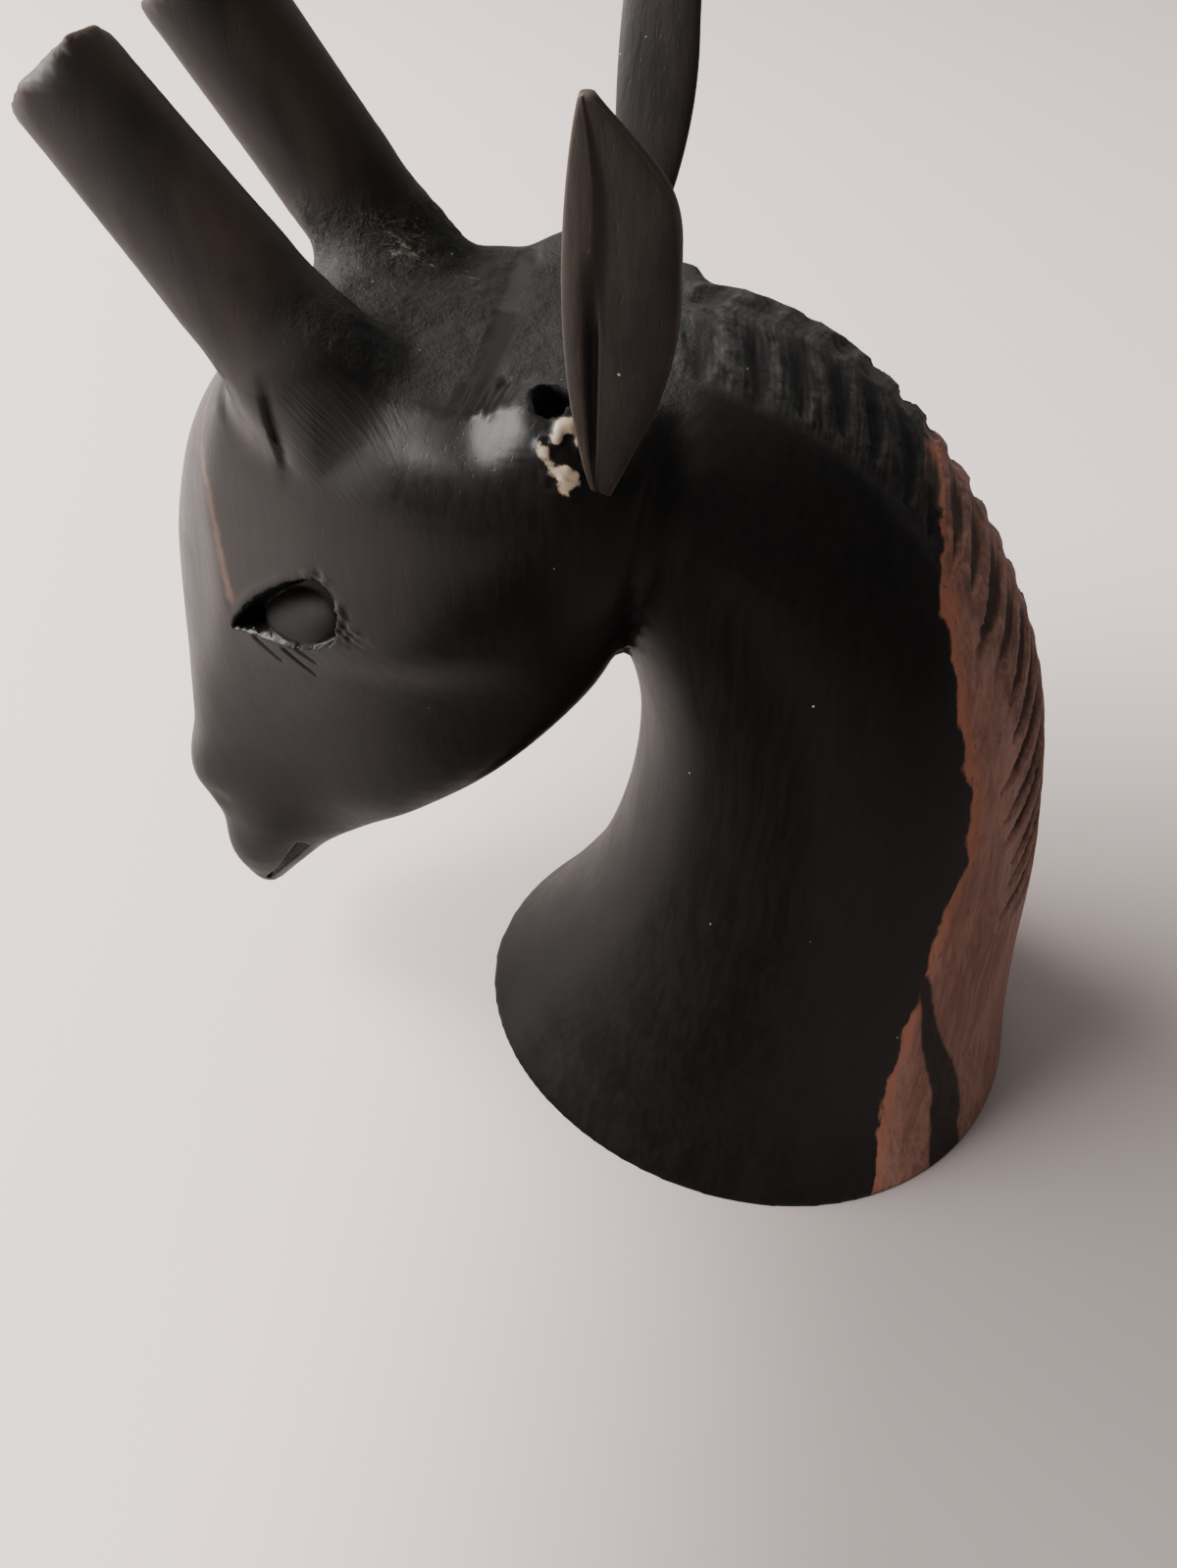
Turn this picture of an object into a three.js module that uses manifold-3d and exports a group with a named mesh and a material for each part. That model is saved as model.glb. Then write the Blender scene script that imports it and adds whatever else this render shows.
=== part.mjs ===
// Small giraffe bust carved from one piece of blackwood, with two separate ears.
// Frame: millimetres, +Z up, origin at the middle of the flat-cut foot.
// The animal looks towards -Y and its left side is +X.
import * as THREE from 'three';
import { mergeVertices } from 'three/addons/utils/BufferGeometryUtils.js';
import Module from 'manifold-3d';

// Driving sizes
const FOOT_LENGTH = 61; // front to back, along Y
const FOOT_WIDTH = 55;
const CROWN_HEIGHT = 82.5; // rough flat top of the head above the foot
const HORN_LENGTH = 23; // the right horn; the left one is a little shorter
const EAR_SEAT_GAP = 0.3; // the ears are let into shallow seats in the head

// How finely the curved surfaces are cut
const NECK_SIDES = 40;
const NECK_RINGS = 22;
const HEAD_SIDES = 40;
const HEAD_RINGS = 24;
const HORN_SIDES = 18;
const HORN_STEPS = 9;
const EAR_RINGS = 12;
const EAR_SECTION_POINTS = 14;
const STROKE_FACETS = [6, 4]; // around and along each gouge stroke
const EYE_FACETS = [12, 8];
const MOUTH_FACETS = [6, 6];
const HOLE_SIDES = 12;
const MERGE_DISTANCE = 1e-4; // points closer than this are one point

const BLACKWOOD = { color: 0x1b1816, roughness: 0.36, metalness: 0 };
const EAR_WOOD = { color: 0x24201d, roughness: 0.42, metalness: 0 };

const wasm = await Module();
wasm.setup();

// Closed skin over a row of rings that all have the same number of points.
function skin(rings, startCentre, endCentre) {
  const sides = rings[0].length;
  const points = rings.flat();
  const index = [];
  for (let r = 0; r < rings.length - 1; r++) {
    for (let s = 0; s < sides; s++) {
      const a = r * sides + s;
      const b = r * sides + ((s + 1) % sides);
      index.push(a, b, b + sides, a, b + sides, a + sides);
    }
  }
  const last = (rings.length - 1) * sides;
  const start = points.push(startCentre) - 1;
  const end = points.push(endCentre) - 1;
  for (let s = 0; s < sides; s++) {
    const next = (s + 1) % sides;
    index.push(start, next, s);
    index.push(end, last + s, last + next);
  }
  const geometry = new THREE.BufferGeometry().setFromPoints(points);
  geometry.setIndex(index);
  return geometry;
}

// A point or direction given for the left side, or its mirror image with side -1.
function vector([x, y, z], side = 1) {
  return new THREE.Vector3(side * x, y, z);
}

function middle(ring) {
  const sum = ring.reduce((total, p) => total.add(p), new THREE.Vector3());
  return sum.divideScalar(ring.length);
}

// Turn a closed geometry into a solid that can be joined and cut.
function toSolid(geometry) {
  const bare = geometry.clone();
  bare.deleteAttribute('normal');
  bare.deleteAttribute('uv');
  const merged = mergeVertices(bare, MERGE_DISTANCE);
  const vertProperties = new Float32Array(merged.attributes.position.array);
  const triVerts = new Uint32Array(merged.index.array);
  if (signedVolume(vertProperties, triVerts) < 0) {
    for (let i = 0; i < triVerts.length; i += 3) {
      [triVerts[i], triVerts[i + 1]] = [triVerts[i + 1], triVerts[i]];
    }
  }
  return new wasm.Manifold(new wasm.Mesh({ numProp: 3, vertProperties, triVerts }));
}

function signedVolume(xyz, tri) {
  const a = new THREE.Vector3();
  const b = new THREE.Vector3();
  const c = new THREE.Vector3();
  let volume = 0;
  for (let i = 0; i < tri.length; i += 3) {
    a.fromArray(xyz, 3 * tri[i]);
    b.fromArray(xyz, 3 * tri[i + 1]);
    c.fromArray(xyz, 3 * tri[i + 2]);
    volume += a.dot(b.cross(c)) / 6;
  }
  return volume;
}

function toGeometry(solid) {
  const mesh = solid.getMesh();
  const geometry = new THREE.BufferGeometry();
  geometry.setAttribute('position', new THREE.BufferAttribute(mesh.vertProperties, 3));
  geometry.setIndex(new THREE.BufferAttribute(mesh.triVerts, 1));
  return geometry;
}

// Neck: a swept tube between a crest line and a throat line in the middle plane.
// Each line is [Y, Z] from the foot up to the head, each width is the half width there.
const neckCrest = new THREE.SplineCurve(
  [
    [FOOT_LENGTH / 2, 0],
    [28.8, 9],
    [27.2, 20],
    [25.2, 36],
    [20.6, 54],
    [12.2, 68.5],
    [1.5, 78.6],
    [-10, CROWN_HEIGHT],
    [-19, CROWN_HEIGHT - 3],
  ].map(([y, z]) => new THREE.Vector2(y, z)),
);
const neckThroat = new THREE.SplineCurve(
  [
    [-FOOT_LENGTH / 2, 0],
    [-24.8, 8],
    [-18.9, 18.5],
    [-15.2, 31],
    [-13.8, 43],
    [-14.6, 52],
    [-18, 60],
    [-24, 64],
    [-31, 66],
  ].map(([y, z]) => new THREE.Vector2(y, z)),
);
const neckHalfWidth = new THREE.SplineCurve(
  [FOOT_WIDTH / 2, 24, 21.4, 19, 17.6, 16.8, 16, 15, 13].map(
    (width, i) => new THREE.Vector2(i, width),
  ),
);
const HEEL = 0.07; // the foot is fuller towards the back of the neck
const HEEL_FADE = 5; // how fast that fullness dies out up the neck

function neckPoint(t, angle) {
  const crest = neckCrest.getPoint(t);
  const throat = neckThroat.getPoint(t);
  const along = (1 + Math.cos(angle)) / 2;
  const fullness = 1 + HEEL * Math.exp(-HEEL_FADE * t) * Math.cos(angle);
  const width = neckHalfWidth.getPoint(t).y * fullness;
  return new THREE.Vector3(
    width * Math.sin(angle),
    THREE.MathUtils.lerp(throat.x, crest.x, along),
    THREE.MathUtils.lerp(throat.y, crest.y, along),
  );
}

function neckSolid() {
  const rings = [];
  for (let r = 0; r <= NECK_RINGS; r++) {
    const ring = [];
    for (let s = 0; s < NECK_SIDES; s++) {
      ring.push(neckPoint(r / NECK_RINGS, (2 * Math.PI * s) / NECK_SIDES));
    }
    rings.push(ring);
  }
  return toSolid(skin(rings, middle(rings[0]), middle(rings[NECK_RINGS])));
}

// Head: carved between five guide lines that run from the crown down to the muzzle tip.
// Points are [X, Y, Z] on the left side; the face and gullet lines lie in the middle plane.
const GUIDE_TENSION = 0.5;
const SECTION_TENSION = 0.42; // low tension keeps the carved planes between the guide lines

function guideLine(points) {
  const vectors = points.map(([x, y, z]) => new THREE.Vector3(x, y, z));
  return new THREE.CatmullRomCurve3(vectors, false, 'catmullrom', GUIDE_TENSION);
}
const faceLine = guideLine([
  [0, -37.5, CROWN_HEIGHT],
  [0, -46, 78],
  [0, -52, 71],
  [0, -56, 62],
  [0, -58, 53],
  [0, -59.2, 45],
  [0, -60.8, 37],
  [0, -62.8, 30],
  [0, -61.2, 23.4],
  [0, -61.8, 16.5],
  [0, -60, 10.6],
]);
const browLine = guideLine([
  [10, -38, CROWN_HEIGHT - 1],
  [10.5, -44, 77.5],
  [10.2, -47.4, 70],
  [10.8, -48.4, 60],
  [9, -51.5, 52],
  [7, -55.2, 44.5],
  [5.6, -58, 36.5],
  [4.8, -60.6, 29.5],
  [4, -59.6, 22.8],
  [3.6, -60.2, 16],
  [2, -59.4, 10.3],
]);
const cheekLine = guideLine([
  [14, -26, CROWN_HEIGHT - 2],
  [17.4, -26.5, 77],
  [19.2, -27, 70],
  [18, -29, 62.5],
  [14.6, -33.5, 55],
  [11.2, -40, 46.5],
  [8.4, -46.5, 38],
  [6.8, -51, 30],
  [5.8, -54, 22.6],
  [4.6, -57, 15.6],
  [2.6, -58, 9.8],
]);
const jawLine = guideLine([
  [12.5, -12.5, CROWN_HEIGHT - 2],
  [15.6, -12.5, 77.5],
  [16.6, -13, 71],
  [15.4, -14, 64.5],
  [13.8, -17.8, 55.5],
  [12, -26, 44],
  [8.8, -35.5, 33.5],
  [5.8, -42.5, 26.5],
  [4.4, -48.4, 21],
  [3.4, -53, 15.2],
  [1.8, -56.4, 10],
]);
const gulletLine = guideLine([
  [0, -14, CROWN_HEIGHT - 1],
  [0, -14, 78],
  [0, -14, 71],
  [0, -14.6, 63.5],
  [0, -17, 53.5],
  [0, -25, 42],
  [0, -34, 32],
  [0, -41.5, 25.5],
  [0, -47.4, 20],
  [0, -52.2, 14.6],
  [0, -56, 10.2],
]);

function mirrored(point) {
  return new THREE.Vector3(-point.x, point.y, point.z);
}

function headRing(t, sides) {
  const [face, brow, cheek, jaw, gullet] = [
    faceLine,
    browLine,
    cheekLine,
    jawLine,
    gulletLine,
  ].map((line) => line.getPoint(t));
  const around = [face, brow, cheek, jaw, gullet, mirrored(jaw), mirrored(cheek), mirrored(brow)];
  const section = new THREE.CatmullRomCurve3(around, true, 'catmullrom', SECTION_TENSION);
  return section.getPoints(sides).slice(0, sides);
}

function headSolid() {
  const rings = [];
  for (let r = 0; r <= HEAD_RINGS; r++) {
    rings.push(headRing(r / HEAD_RINGS, HEAD_SIDES));
  }
  const crown = middle(rings[0]);
  crown.z = CROWN_HEIGHT;
  return toSolid(skin(rings, crown, middle(rings[HEAD_RINGS])));
}

// Horns: straight tapered posts with flat-cut ends, flaring where they leave the crown.
const HORN_FLARE = 0.2; // extra radius at the root, as a share of the shaft radius
const HORN_FLARE_REACH = 3; // height over which the flare dies out
const HORN_ROOT_DEPTH = 5; // how far the post runs on inside the head
const HORN_SIDE_SHARE = 0.92; // a horn is slightly slimmer from side to side than front to back
const horns = [
  { root: [10, -37.8, 81], lean: [-0.05, -0.6, 0.8], length: HORN_LENGTH - 1, shaft: 5, tip: 4 },
  { root: [-9.5, -37.2, 81], lean: [0.04, -0.53, 0.85], length: HORN_LENGTH, shaft: 4.8, tip: 4.7 },
];

function hornSolid({ root, lean, length, shaft, tip }) {
  const axis = vector(lean).normalize();
  const across = new THREE.Vector3(1, 0, 0).addScaledVector(axis, -axis.x).normalize();
  const forward = new THREE.Vector3().crossVectors(axis, across);
  const rings = [];
  for (let r = 0; r <= HORN_STEPS; r++) {
    const reach = THREE.MathUtils.lerp(-HORN_ROOT_DEPTH, length, r / HORN_STEPS);
    const up = Math.max(reach, 0) / length;
    const flare = 1 + HORN_FLARE * Math.exp(-Math.max(reach, 0) / HORN_FLARE_REACH);
    const radius = THREE.MathUtils.lerp(shaft, tip, up) * flare;
    const centre = vector(root).addScaledVector(axis, reach);
    const ring = [];
    for (let s = 0; s < HORN_SIDES; s++) {
      const angle = (2 * Math.PI * s) / HORN_SIDES;
      ring.push(
        centre
          .clone()
          .addScaledVector(across, radius * HORN_SIDE_SHARE * Math.cos(angle))
          .addScaledVector(forward, radius * Math.sin(angle)),
      );
    }
    rings.push(ring);
  }
  return toSolid(skin(rings, middle(rings[0]), middle(rings[HORN_STEPS])));
}

// Place a ball-shaped cutter or swelling: half sizes along, across and into the surface.
function lens(centre, along, outward, halfSizes, facets) {
  const u = along.clone().normalize();
  const w = outward.clone().addScaledVector(u, -outward.dot(u)).normalize();
  const v = new THREE.Vector3().crossVectors(w, u);
  const shape = new THREE.SphereGeometry(1, ...facets);
  shape.rotateZ(-Math.PI / 2);
  const place = new THREE.Matrix4().makeBasis(
    u.multiplyScalar(halfSizes[0]),
    v.multiplyScalar(halfSizes[1]),
    w.multiplyScalar(halfSizes[2]),
  );
  place.setPosition(centre);
  shape.applyMatrix4(place);
  return toSolid(shape);
}

// Mane: tapered gouge strokes in a herringbone on both sides of the crest.
const STROKES_A_SIDE = 20;
const STROKE_TOP = 0.89; // neck parameter of the stroke next to the head
const STROKE_BOTTOM = 0.37;
const STROKE_CROWDING = 0.82; // below 1, the strokes stand closer together down the neck
const STROKE_SPREAD = [0.48, 0.6]; // angle from the crest to the lower tip, top and bottom stroke
const STROKE_DROP = [0.022, 0.036]; // how far a stroke runs down the neck
const STROKE_HALF_WIDTH = [1.25, 0.95];
const STROKE_HALF_DEPTH = 0.75;
const STROKE_SINK = 0.3; // the surface curves away under a straight stroke

function maneStroke(i, side) {
  const f = i / (STROKES_A_SIDE - 1);
  const t = THREE.MathUtils.lerp(STROKE_TOP, STROKE_BOTTOM, f ** STROKE_CROWDING);
  const drop = THREE.MathUtils.lerp(STROKE_DROP[0], STROKE_DROP[1], f);
  const spread = side * THREE.MathUtils.lerp(STROKE_SPREAD[0], STROKE_SPREAD[1], f);
  const high = neckPoint(t, 0);
  const low = neckPoint(t - drop, spread);
  const centre = neckPoint(t - drop / 2, spread / 2);
  const heart = neckPoint(t, 0).lerp(neckPoint(t, Math.PI), 0.5);
  const outward = centre.clone().sub(heart).normalize();
  const along = low.clone().sub(high);
  const width = THREE.MathUtils.lerp(STROKE_HALF_WIDTH[0], STROKE_HALF_WIDTH[1], f);
  centre.addScaledVector(outward, -STROKE_SINK);
  const halfSizes = [along.length() / 2, width, STROKE_HALF_DEPTH];
  return lens(centre, along, outward, halfSizes, STROKE_FACETS);
}

// Eyes, mouth and the open drilled hole beside the left ear.
const EYE = { centre: [13.6, -42, 60.6], along: [0.37, 0.84, 0.4], outward: [0.87, -0.48, 0.1] };
const EYEBALL_HALF = [5.2, 3, 2];
const EYE_HOLLOW_HALF = [6.4, 3.9, 1.5];
const MOUTH = { from: [4.6, -50.4, 20.6], to: [3, -57.2, 11.8], halfGape: 0.45, halfDepth: 1.3 };
const MOUTH_OUTWARD = [1, 0.2, 0];
const HOLE = { centre: [12.8, -19, 80], outward: [0.45, -0.1, 0.88], radius: 1.4, depth: 3.5 };

function eyeLens(side, halfSizes) {
  const centre = vector(EYE.centre, side);
  return lens(centre, vector(EYE.along, side), vector(EYE.outward, side), halfSizes, EYE_FACETS);
}

function mouthCut(side) {
  const from = vector(MOUTH.from, side);
  const to = vector(MOUTH.to, side);
  const along = to.clone().sub(from);
  const centre = from.clone().lerp(to, 0.5);
  const halfSizes = [along.length() / 2, MOUTH.halfGape, MOUTH.halfDepth];
  return lens(centre, along, vector(MOUTH_OUTWARD, side), halfSizes, MOUTH_FACETS);
}

function holeCut() {
  const shape = new THREE.CylinderGeometry(HOLE.radius, HOLE.radius, 2 * HOLE.depth, HOLE_SIDES);
  const turn = new THREE.Quaternion();
  turn.setFromUnitVectors(new THREE.Vector3(0, 1, 0), vector(HOLE.outward).normalize());
  shape.applyQuaternion(turn);
  shape.translate(...HOLE.centre);
  return toSolid(shape);
}

// Ears: leaf-shaped blades, hollowed on the outer face, each let into its seat by the root.
// A blade has a nearly straight front edge and a full back edge.
const ears = {
  left_ear: { root: [16.4, -15.4, 76], tip: [26, -14.6, 103.8], face: [0.97, -0.1, -0.2] },
  right_ear: { root: [-16, -18.6, 75.6], tip: [-25, -19.4, 103.8], face: [-0.97, -0.1, -0.2] },
};
const EAR_FRONT = 1.6; // blade width in front of its axis
const EAR_BACK = 4.9; // and behind it, at the broadest place
const EAR_BACK_SHARE = [0.1, 0.45, 0.78, 0.97, 1, 0.86, 0.06]; // along the blade, root to tip
const EAR_THICKNESS = 2;
const EAR_HOLLOW = 0.8;
const EAR_END_TRIM = 0.02; // the blade stops just short of its two sharp ends
const EAR_FULLNESS = 0.7; // below 1, the blade keeps its width further towards the ends
const EAR_LEAST_THICKNESS = 0.3; // at the ends, as a share of the full thickness

function earGeometry({ root, tip, face }, grow = 0) {
  const from = vector(root);
  const axis = vector(tip).sub(from);
  const length = axis.length();
  axis.normalize();
  const outward = vector(face).addScaledVector(axis, -vector(face).dot(axis)).normalize();
  const back = new THREE.Vector3(0, 1, 0);
  back.addScaledVector(axis, -back.dot(axis)).addScaledVector(outward, -back.dot(outward));
  back.normalize();
  const backShare = new THREE.SplineCurve(EAR_BACK_SHARE.map((w, i) => new THREE.Vector2(i, w)));
  const rings = [];
  for (let r = 0; r <= EAR_RINGS; r++) {
    const f = THREE.MathUtils.lerp(EAR_END_TRIM, 1 - EAR_END_TRIM, r / EAR_RINGS);
    const leaf = Math.sin(Math.PI * f) ** EAR_FULLNESS;
    const front = EAR_FRONT * leaf + grow;
    const rear = EAR_BACK * backShare.getPoint(f).y + grow;
    const thickness = (EAR_THICKNESS / 2) * Math.max(leaf, EAR_LEAST_THICKNESS) + grow;
    const hollow = EAR_HOLLOW * leaf;
    const centre = from.clone().addScaledVector(axis, f * length);
    const ring = [];
    for (let s = 0; s < EAR_SECTION_POINTS; s++) {
      const angle = (2 * Math.PI * s) / EAR_SECTION_POINTS;
      const across = Math.cos(angle);
      const rise = Math.sin(angle);
      const dish = rise > 0 && grow === 0 ? hollow * (1 - across * across) * rise : 0;
      ring.push(
        centre
          .clone()
          .addScaledVector(back, THREE.MathUtils.lerp(-front, rear, (1 + across) / 2))
          .addScaledVector(outward, thickness * rise - dish),
      );
    }
    rings.push(ring);
  }
  const geometry = skin(rings, middle(rings[0]), middle(rings[EAR_RINGS]));
  return toGeometry(toSolid(geometry));
}

function bodyGeometry() {
  let body = neckSolid().add(headSolid());
  for (const horn of horns) {
    body = body.add(hornSolid(horn));
  }
  for (const side of [1, -1]) {
    body = body.subtract(eyeLens(side, EYE_HOLLOW_HALF)).add(eyeLens(side, EYEBALL_HALF));
    body = body.subtract(mouthCut(side));
    for (let i = 0; i < STROKES_A_SIDE; i++) {
      body = body.subtract(maneStroke(i, side));
    }
  }
  body = body.subtract(holeCut());
  for (const ear of Object.values(ears)) {
    body = body.subtract(toSolid(earGeometry(ear, EAR_SEAT_GAP)));
  }
  return toGeometry(body);
}

function piece(name, geometry, finish) {
  const mesh = new THREE.Mesh(geometry, new THREE.MeshStandardMaterial(finish));
  mesh.name = name;
  return mesh;
}

const figure = new THREE.Group();
figure.add(piece('head_and_neck', bodyGeometry(), BLACKWOOD));
for (const [name, ear] of Object.entries(ears)) {
  figure.add(piece(name, earGeometry(ear), EAR_WOOD));
}

export default figure;
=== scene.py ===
import math

import bmesh
import bpy
import numpy as np
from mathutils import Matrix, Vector, kdtree


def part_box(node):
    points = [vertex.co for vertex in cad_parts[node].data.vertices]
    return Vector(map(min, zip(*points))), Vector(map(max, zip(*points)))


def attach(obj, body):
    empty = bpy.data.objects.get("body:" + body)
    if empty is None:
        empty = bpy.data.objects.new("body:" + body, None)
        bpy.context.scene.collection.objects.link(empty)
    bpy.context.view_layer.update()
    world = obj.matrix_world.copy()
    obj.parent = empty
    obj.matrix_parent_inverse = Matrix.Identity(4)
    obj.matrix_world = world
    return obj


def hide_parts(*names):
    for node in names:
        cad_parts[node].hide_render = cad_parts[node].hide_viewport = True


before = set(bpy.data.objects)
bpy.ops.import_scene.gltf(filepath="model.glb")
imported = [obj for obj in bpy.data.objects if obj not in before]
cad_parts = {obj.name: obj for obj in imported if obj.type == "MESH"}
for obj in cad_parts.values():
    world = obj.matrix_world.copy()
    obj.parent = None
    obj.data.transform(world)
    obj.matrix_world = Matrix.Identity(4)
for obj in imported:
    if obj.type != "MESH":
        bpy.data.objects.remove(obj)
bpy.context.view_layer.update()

# The view: a phone held close above the head, looking down past the left cheek.
# Lengths are metres; the lens is set for a sensor whose long side is 36 mm.
CAMERA_PLACE = (0.0838, -0.0037, 0.1200)
CAMERA_TURN = math.radians(100.4)  # round the figure, from straight in front of it
CAMERA_TILT = math.radians(46.1)  # downwards from level
CAMERA_LENS = 27.02

camera_data = bpy.data.cameras.new("camera")
camera_data.lens = CAMERA_LENS
camera_data.sensor_width = 36
camera_data.clip_start = 0.005
camera_data.clip_end = 20
camera = bpy.data.objects.new("camera", camera_data)
bpy.context.scene.collection.objects.link(camera)
camera.location = CAMERA_PLACE
looking = Vector((
    -math.sin(CAMERA_TURN) * math.cos(CAMERA_TILT),
    math.cos(CAMERA_TURN) * math.cos(CAMERA_TILT),
    -math.sin(CAMERA_TILT),
))
camera.rotation_euler = looking.to_track_quat("-Z", "Y").to_euler()
bpy.context.scene.camera = camera

# The floor: a plain sheet of pale paper that runs far past the view on every side. Painted shade darkens
# its near right side a little, as if the photographer stood over it, and more painted shade darkens what polished wood
# mirrors of it.
FLOOR_REACH = 3.0
FLOOR_DROP = 0.00005  # keeps the paper from sharing a plane with the foot
PAPER = (0.66, 0.56, 0.535)
SHADED = 0.3  # share of the paper's colour that is left where the painted shade is deepest
SHADE_FROM_Y, SHADE_TO_Y = -0.05, 0.02
SHADE_FROM_X, SHADE_TO_X = -0.12, 0.045
MIRRORED = 0.75  # the same, in reflections of the paper far in front of the animal
MIRRORED_NEAR = 0.42  # and of the paper close to it
MIRRORED_DARK = 0.03  # and of the paper on the camera's side
MIRRORED_BEHIND = 0.3  # and further back there
BEHIND_FROM_Y, BEHIND_TO_Y = -0.022, 0.02
NEAR_FROM_Y, NEAR_TO_Y = -0.16, -0.07
MIRROR_FROM_X, MIRROR_TO_X = 0.009, 0.019
MIRROR_FROM_Y, MIRROR_TO_Y = -0.078, -0.05


def is_socket(value):
    return isinstance(value, bpy.types.NodeSocket)


def place_node(tree, kind, inputs=None, **settings):
    """One shader node. Each input is a plain value or another node's output."""
    made = tree.nodes.new(kind)
    for name, value in settings.items():
        setattr(made, name, value)
    for key, value in (inputs or {}).items():
        if is_socket(value):
            tree.links.new(value, made.inputs[key])
        else:
            made.inputs[key].default_value = value
    return made


def reckon(tree, operation, first, second=0.0):
    return place_node(tree, "ShaderNodeMath", {0: first, 1: second}, operation=operation).outputs[0]


def rise(tree, value, start, end, low=0.0, high=1.0):
    """A smooth rise from low to high while the value goes from start to end."""
    if end < start:
        start, end, low, high = end, start, high, low
    steps = {"Value": value, "From Min": start, "From Max": end, "To Min": low, "To Max": high}
    return place_node(tree, "ShaderNodeMapRange", steps, interpolation_type="SMOOTHSTEP").outputs[0]


def tint(tree, amount, under, over):
    """The colour over laid on the colour under, by an amount from 0 to 1."""
    colours = {0: amount}
    for key, colour in ((6, under), (7, over)):
        colours[key] = colour if is_socket(colour) else (*colour, 1)
    return place_node(tree, "ShaderNodeMix", colours, data_type="RGBA").outputs[2]


floor_mesh = bpy.data.meshes.new("floor")
corners = [(x * FLOOR_REACH, y * FLOOR_REACH, -FLOOR_DROP) for x, y in ((-1, -1), (1, -1), (1, 1), (-1, 1))]
floor_mesh.from_pydata(corners, [], [(0, 1, 2, 3)])
floor = bpy.data.objects.new("floor", floor_mesh)
bpy.context.scene.collection.objects.link(floor)

paper = bpy.data.materials.new("pale_paper")
paper.use_nodes = True
sheet = paper.node_tree
paper_shader = sheet.nodes["Principled BSDF"]
paper_shader.inputs["Roughness"].default_value = 0.75
spot = place_node(sheet, "ShaderNodeTexCoord").outputs["Object"]
spot = place_node(sheet, "ShaderNodeSeparateXYZ", {0: spot}).outputs
shade = reckon(sheet, "MULTIPLY", rise(sheet, spot["Y"], SHADE_FROM_Y, SHADE_TO_Y),
               rise(sheet, spot["X"], SHADE_FROM_X, SHADE_TO_X))
dark = reckon(sheet, "MULTIPLY", rise(sheet, spot["Y"], MIRROR_FROM_Y, MIRROR_TO_Y),
              rise(sheet, spot["X"], MIRROR_FROM_X, MIRROR_TO_X))
near = rise(sheet, spot["Y"], NEAR_FROM_Y, NEAR_TO_Y)
# Painted shade: the paper's colour is darker at its near right, and darker again where glossy rays see it.
seen = tint(sheet, shade, PAPER, [c * SHADED for c in PAPER])
mirrored_sheet = tint(sheet, near, [c * MIRRORED for c in PAPER], [c * MIRRORED_NEAR for c in PAPER])
dark_sheet = tint(sheet, rise(sheet, spot["Y"], BEHIND_FROM_Y, BEHIND_TO_Y),
                  [c * MIRRORED_DARK for c in PAPER], [c * MIRRORED_BEHIND for c in PAPER])
mirrored_sheet = tint(sheet, dark, mirrored_sheet, dark_sheet)
glossy_ray = place_node(sheet, "ShaderNodeLightPath").outputs["Is Glossy Ray"]
sheet.links.new(tint(sheet, glossy_ray, seen, mirrored_sheet), paper_shader.inputs["Base Color"])
floor_mesh.materials.append(paper)


# The light: one broad soft window in front of the animal, and a room that is pale on the far side
# and dim on the camera's side, so that what faces the camera stays dark.
def soft_light(name, place, aim, width, height, watts, colour):
    """One rectangular light of that size in metres, turned towards its aim."""
    lamp = bpy.data.lights.new(name, "AREA")
    lamp.shape = "RECTANGLE"
    lamp.size = width
    lamp.size_y = height
    lamp.energy = watts
    lamp.color = colour
    held = bpy.data.objects.new(name, lamp)
    held.location = place
    held.rotation_euler = (Vector(aim) - Vector(place)).to_track_quat("-Z", "Y").to_euler()
    bpy.context.scene.collection.objects.link(held)


soft_light("window", (0.07, -0.7, 0.55), (0, 0, 0.03), 0.9, 0.55, 38, (1.0, 0.985, 0.97))

ROOM_BRIGHT_SIDE = (-0.62, -0.62, 0.48)  # direction of the pale wall and ceiling
ROOM_DARK = 0.24
ROOM_BRIGHT = 0.75
world = bpy.data.worlds.new("room")
world.use_nodes = True
room = world.node_tree
towards = place_node(
    room, "ShaderNodeVectorMath",
    {0: place_node(room, "ShaderNodeTexCoord").outputs["Generated"], 1: ROOM_BRIGHT_SIDE},
    operation="DOT_PRODUCT",
).outputs["Value"]
room.links.new(rise(room, towards, -0.4, 0.9, ROOM_DARK, ROOM_BRIGHT), room.nodes["Background"].inputs["Strength"])
room.nodes["Background"].inputs["Color"].default_value = (1.0, 0.97, 0.95, 1)
bpy.context.scene.world = world


# Head and neck: one block of blackwood, carved, rasped and polished, with both horns, the gouged mane
# and the flared foot left on it. It stands on the foot's flat saw cut, and the ears are let into it.
# Lengths in this section are millimetres until the mesh is made.
MM = 0.001
low_corner, high_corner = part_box("head_and_neck")
FOOT_WIDTH = (high_corner.x - low_corner.x) / MM
FOOT_BACK = high_corner.y / MM
CROWN_HEIGHT = 82.5
VOXEL = 0.78  # grid on which neck, head and horns are merged into one skin

NECK_CREST = [
    (FOOT_BACK, 0), (28.8, 9), (27.2, 20), (25.2, 36), (20.6, 54),
    (12.2, 68.5), (1.5, 78.6), (-10, CROWN_HEIGHT), (-19, 79.5),
]
NECK_THROAT = [
    (-FOOT_BACK, 0), (-24.8, 8), (-18.9, 18.5), (-15.2, 31), (-13.8, 43),
    (-14.6, 52), (-18, 60), (-24, 64), (-31, 66),
]
NECK_HALF_WIDTH = [(w,) for w in (FOOT_WIDTH / 2, 24, 21.4, 19, 17.6, 16.8, 16, 15, 13)]
HEEL = 0.07
HEEL_FADE = 5


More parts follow.
